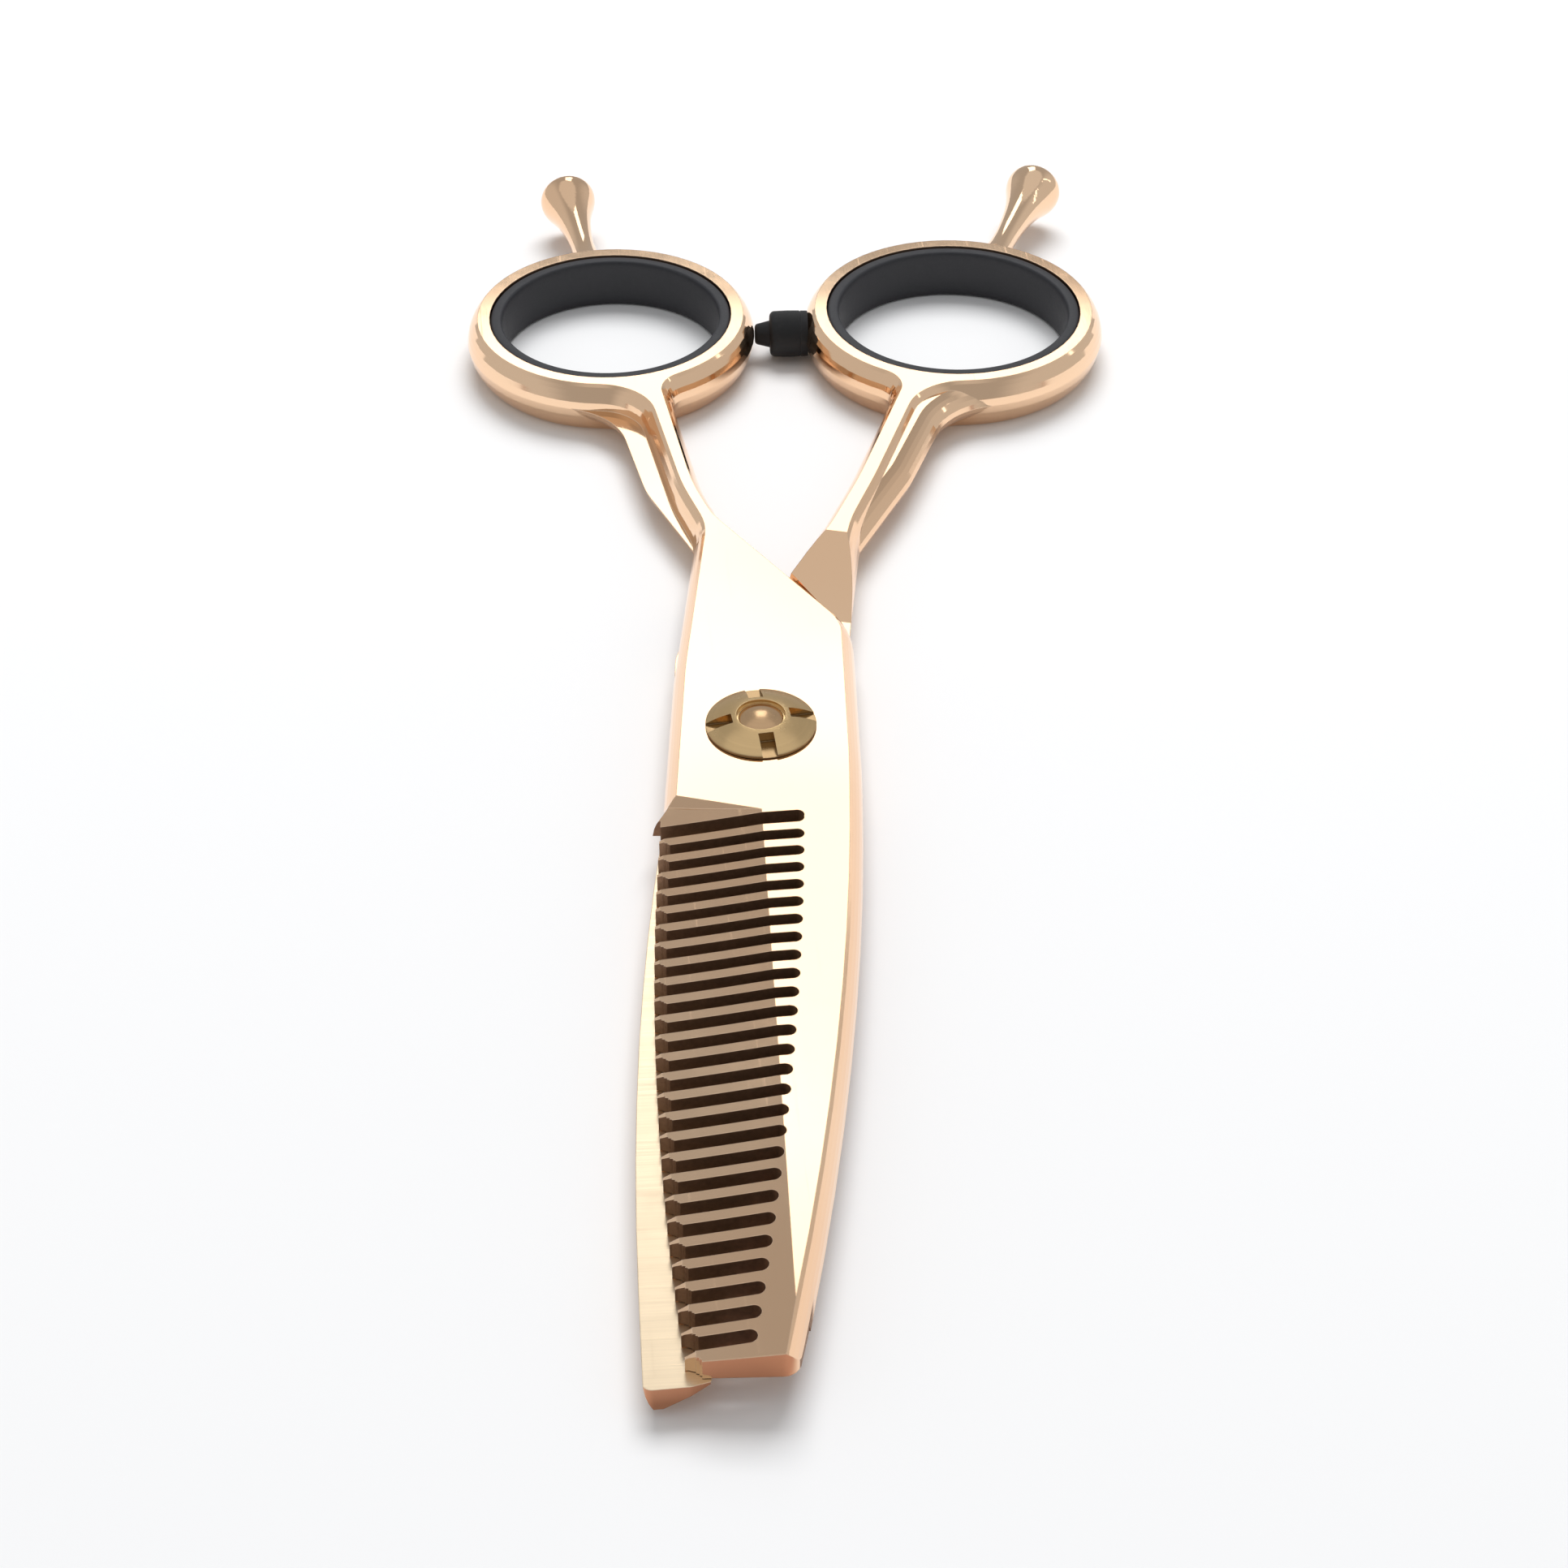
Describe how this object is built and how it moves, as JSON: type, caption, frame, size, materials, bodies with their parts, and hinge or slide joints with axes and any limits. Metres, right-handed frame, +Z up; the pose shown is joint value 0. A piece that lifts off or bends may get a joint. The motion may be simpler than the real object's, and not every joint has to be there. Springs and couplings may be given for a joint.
{
  "type": "hair thinning shears",
  "caption": "Thinning shears: a toothed blade over a plain blade on an adjustable pivot, with two lined finger rings, finger rests and a bumper.",
  "frame": {"origin": "on the pivot axis, at the flat underside of the pivot screw head, level with the surface the shears lie on", "axes": "+Z up along the pivot axis, blade tips towards -Y, finger rings towards +Y, plain half's ring on the +X side"},
  "size_m": [0.0594, 0.1537, 0.0065],
  "materials": {
    "rose_gold_steel": "mirror polished titanium coated steel, rose gold",
    "dial_gold": "satin antique gold coating",
    "plain_steel": "plain turned steel",
    "bronze": "sintered bronze",
    "ring_rubber": "soft matt moulded rubber",
    "bumper_rubber": "matt moulded rubber",
    "nylon": "natural nylon"
  },
  "bodies": {
    "plain_blade_side": {"plain_half": "rose_gold_steel", "plain_ring_insert": "ring_rubber", "plain_finger_rest": "rose_gold_steel", "bumper": "bumper_rubber", "bumper_stud": "plain_steel", "pivot_stud": "dial_gold", "friction_washer": "nylon", "thrust_washer": "plain_steel"},
    "toothed_blade_side": {"toothed_half": "rose_gold_steel", "toothed_ring_insert": "ring_rubber", "toothed_finger_rest": "rose_gold_steel", "pivot_bush": "bronze", "wave_spring": "plain_steel"},
    "dial": {"tension_dial": "dial_gold", "dial_lock_ring": "nylon"}
  },
  "joints": [
    {"name": "blade_pivot", "type": "hinge", "parent": "plain_blade_side", "child": "toothed_blade_side", "pos_m": [0, 0, 0.0026], "axis": [0, 0, 1], "range_deg": [0, 120]},
    {"name": "dial_turn", "type": "hinge", "parent": "plain_blade_side", "child": "dial", "pos_m": [0, 0, 0.005], "axis": [0, 0, 1], "range_deg": [-90, 90]}
  ]
}
